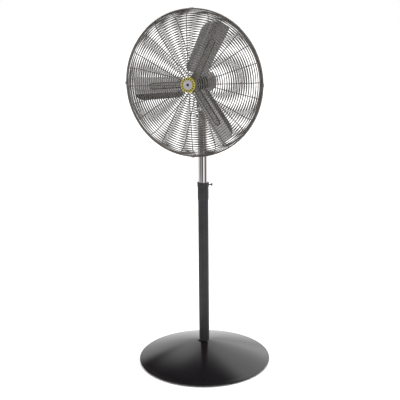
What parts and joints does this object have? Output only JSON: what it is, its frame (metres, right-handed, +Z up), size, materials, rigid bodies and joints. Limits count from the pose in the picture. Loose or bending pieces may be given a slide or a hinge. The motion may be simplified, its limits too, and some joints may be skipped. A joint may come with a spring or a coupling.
{
  "type": "pedestal fan",
  "caption": "Industrial pedestal fan with a round steel base, a telescoping clamped post, and a tilting motor head with a paddle propeller inside a round wire guard.",
  "frame": {"origin": "on the floor, under the post's axis", "axes": "+Z up along the post, -Y the way the fan faces at rest, +X to the right seen from the front"},
  "size_m": [0.8046, 0.784, 2.0623],
  "materials": {
    "base_paint": "satin black paint over spun steel",
    "post_paint": "satin black paint on steel tube",
    "chrome": "polished chrome plate",
    "zinc": "zinc plate",
    "black_steel": "black oxide",
    "guard_wire": "nickel-plated steel wire",
    "blade_aluminium": "mill finish sheet",
    "aluminium_can": "plain drawn can",
    "motor_paint": "dark grey enamel",
    "core_steel": "machined",
    "black_plastic": "fine moulded grain",
    "nylon": "natural nylon",
    "rubber": "matt",
    "brass": "turned",
    "badge_yellow": "printed gloss",
    "badge_pale": "printed gloss"
  },
  "bodies": {
    "stand": {"base_cone": "base_paint", "base_socket": "base_paint", "tube_plug": "zinc", "base_washer": "zinc", "base_bolt": "zinc", "foot_1": "rubber", "foot_2": "rubber", "foot_3": "rubber", "foot_4": "rubber", "outer_tube": "post_paint", "tube_sleeve": "post_paint", "guide_bush": "nylon", "clamp_collar": "post_paint"},
    "clamp_nose": {"clamp_pad": "brass"},
    "clamp_handle": {"clamp_screw": "black_steel", "clamp_bar": "black_steel"},
    "mast": {"inner_tube": "chrome", "mast_bush": "nylon"},
    "pan_yoke": {"yoke": "zinc", "tilt_bolt": "zinc", "tilt_washer": "zinc"},
    "pan_lock": {"yoke_screw": "black_steel"},
    "tilt_lock": {"tilt_knob": "black_plastic"},
    "head": {"tilt_bracket": "zinc", "front_bell": "motor_paint", "motor_shell": "motor_paint", "rear_bell": "motor_paint", "front_bearing": "core_steel", "rear_bearing": "core_steel", "stator": "core_steel", "through_bolt_1": "zinc", "through_bolt_2": "zinc", "through_bolt_3": "zinc", "through_bolt_4": "zinc", "front_guard": "guard_wire", "rear_guard": "guard_wire", "guard_screw_1": "zinc", "guard_screw_2": "zinc", "guard_screw_3": "zinc", "guard_screw_4": "zinc", "guard_clip_1": "guard_wire", "guard_clip_2": "guard_wire", "guard_clip_3": "guard_wire", "guard_clip_4": "guard_wire", "badge_plate": "badge_yellow", "badge_disc": "badge_pale", "switch_box": "motor_paint", "switch_cover": "motor_paint", "speed_switch": "black_plastic", "run_capacitor": "aluminium_can", "cable_gland": "black_plastic"},
    "propeller": {"motor_shaft": "core_steel", "rotor_core": "core_steel", "spider": "zinc", "hub_screw": "black_steel", "blade_1": "blade_aluminium", "blade_2": "blade_aluminium", "blade_3": "blade_aluminium"},
    "speed_dial": {"speed_knob": "black_plastic"}
  },
  "joints": [
    {"name": "height_slide", "type": "slide", "parent": "stand", "child": "mast", "axis": [0, 0, 1], "range_m": [-0.25, 0.2]},
    {"name": "clamp_travel", "type": "slide", "parent": "stand", "child": "clamp_nose", "axis": [0.9397, 0.342, 0], "range_m": [0, 0.0036]},
    {"name": "clamp_turn", "type": "hinge", "parent": "clamp_nose", "child": "clamp_handle", "pos_m": [0, 0, 1.0765], "axis": [0.9397, 0.342, 0], "range_deg": [0, 720]},
    {"name": "pan_turn", "type": "hinge", "parent": "mast", "child": "pan_yoke", "pos_m": [0, 0, 1.497], "axis": [0, 0, 1], "continuous": true},
    {"name": "pan_lock_turn", "type": "hinge", "parent": "mast", "child": "pan_lock", "pos_m": [0, 0, 1.469], "axis": [-1, 0, 0], "range_deg": [0, 360]},
    {"name": "tilt_turn", "type": "hinge", "parent": "pan_yoke", "child": "head", "pos_m": [0, 0, 1.54], "axis": [-1, 0, 0], "range_deg": [-8, 20]},
    {"name": "tilt_lock_turn", "type": "hinge", "parent": "pan_yoke", "child": "tilt_lock", "pos_m": [0, 0, 1.54], "axis": [1, 0, 0], "range_deg": [0, 360]},
    {"name": "propeller_spin", "type": "hinge", "parent": "head", "child": "propeller", "pos_m": [0, 0, 1.66], "axis": [0, -1, 0], "continuous": true},
    {"name": "speed_turn", "type": "hinge", "parent": "head", "child": "speed_dial", "pos_m": [0.012, 0, 1.66], "axis": [0, 1, 0], "range_deg": [0, 270]}
  ],
  "couplings": [
    {"joint": "clamp_travel", "follows": "clamp_turn", "m_per_rad": 0.00027852}
  ]
}
